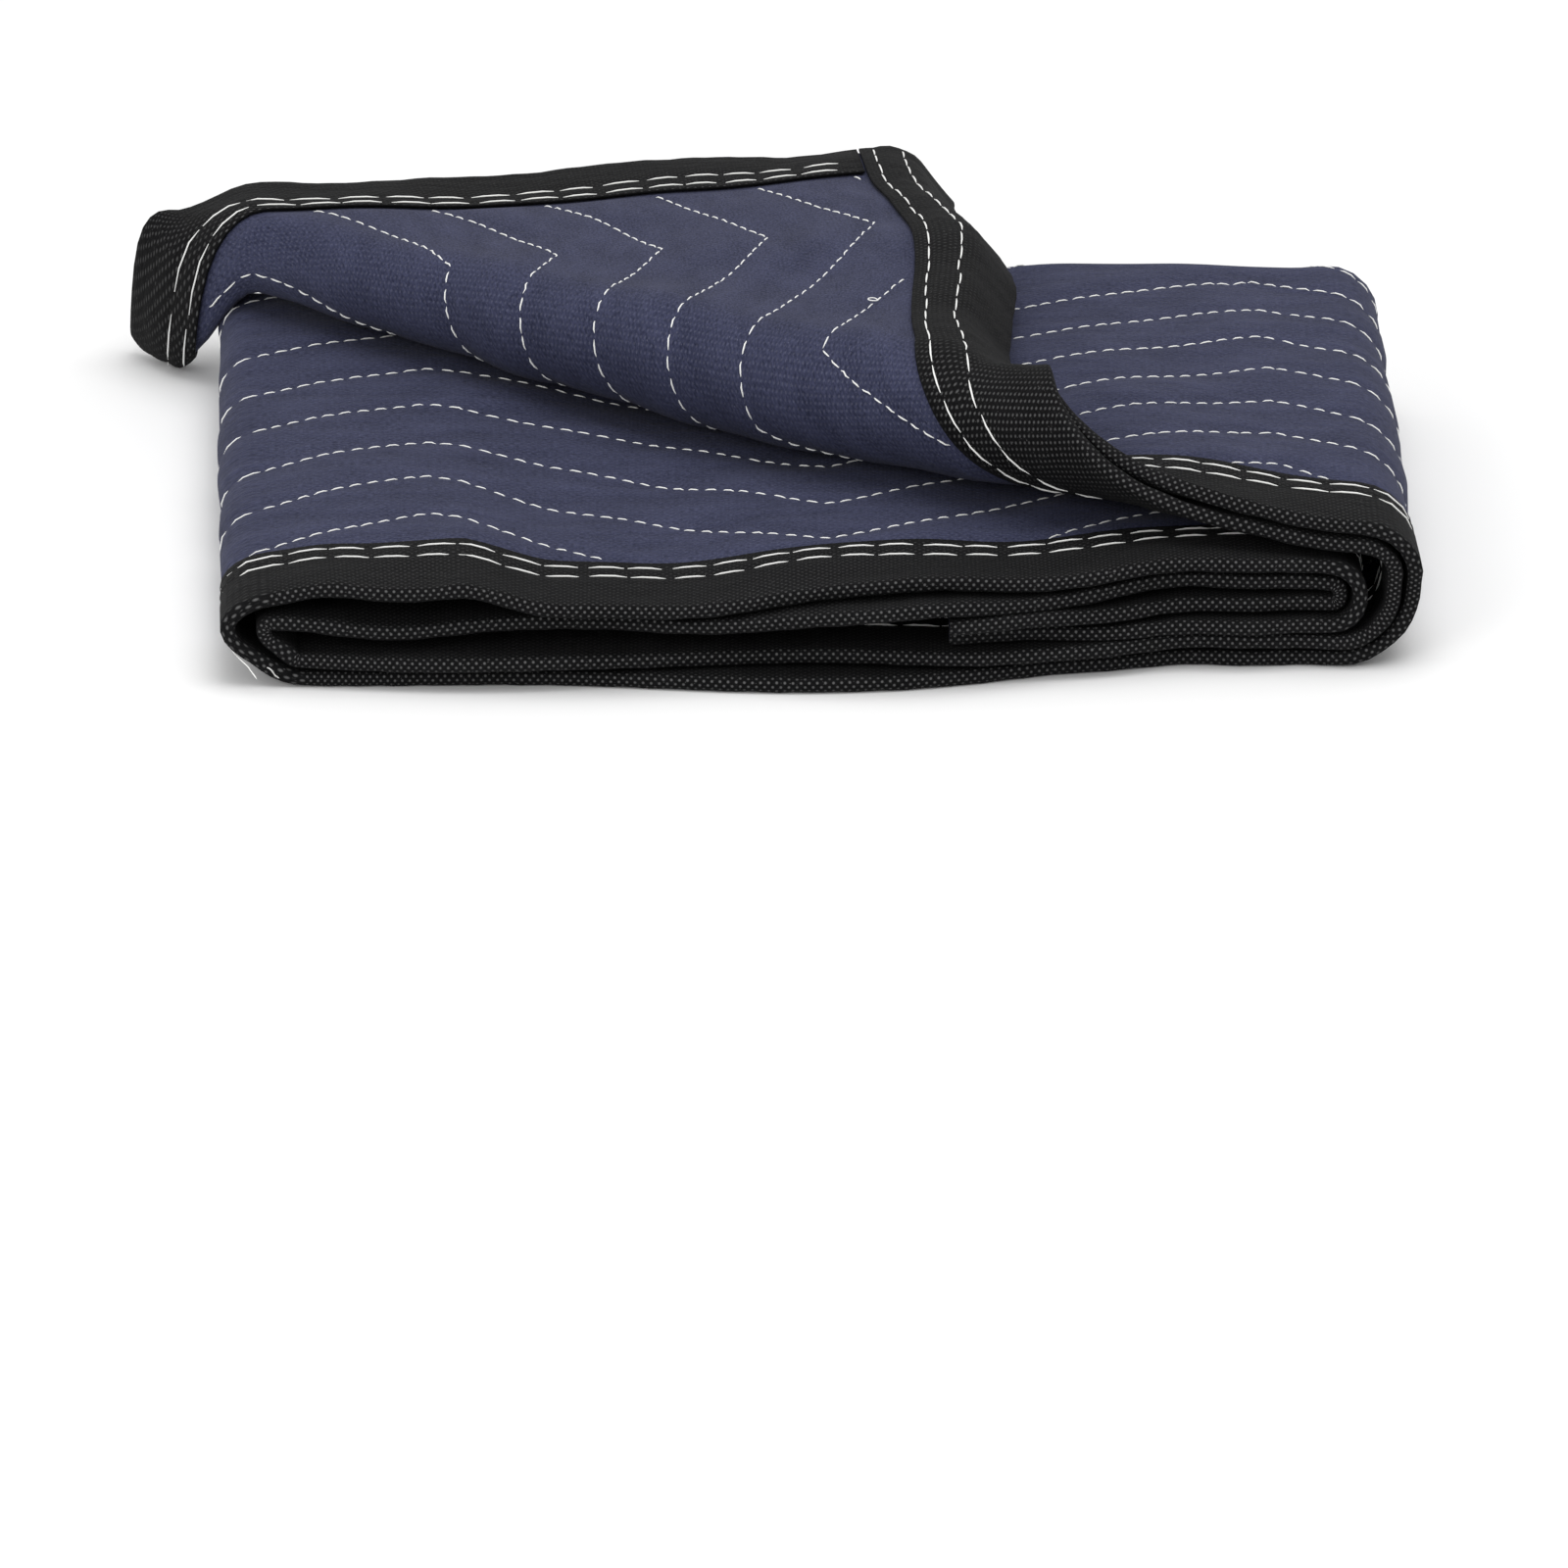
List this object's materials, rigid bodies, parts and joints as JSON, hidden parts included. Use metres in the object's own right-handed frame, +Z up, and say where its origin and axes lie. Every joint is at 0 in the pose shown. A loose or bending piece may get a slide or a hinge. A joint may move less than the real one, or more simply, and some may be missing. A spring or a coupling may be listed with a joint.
{
  "type": "moving blanket",
  "caption": "Quilted moving blanket with bound edges, folded into a flat pack with one corner turned back.",
  "frame": {"origin": "on the surface the pack lies on, under the middle of its lowest ply", "axes": "+Z up; +X along the pack's front towards its plain folded end; the bound front edges face -Y"},
  "size_m": [0.4135, 0.3591, 0.0827],
  "materials": {
    "quilted_cloth": "matt navy non-woven cloth",
    "binding_cloth": "matt black non-woven cloth"
  },
  "bodies": {
    "root": {"quilted_pad": "quilted_cloth", "binding_outer_side": "binding_cloth", "binding_inner_side": "binding_cloth", "binding_flap_end": "binding_cloth", "binding_tail_end": "binding_cloth"}
  },
  "joints": []
}
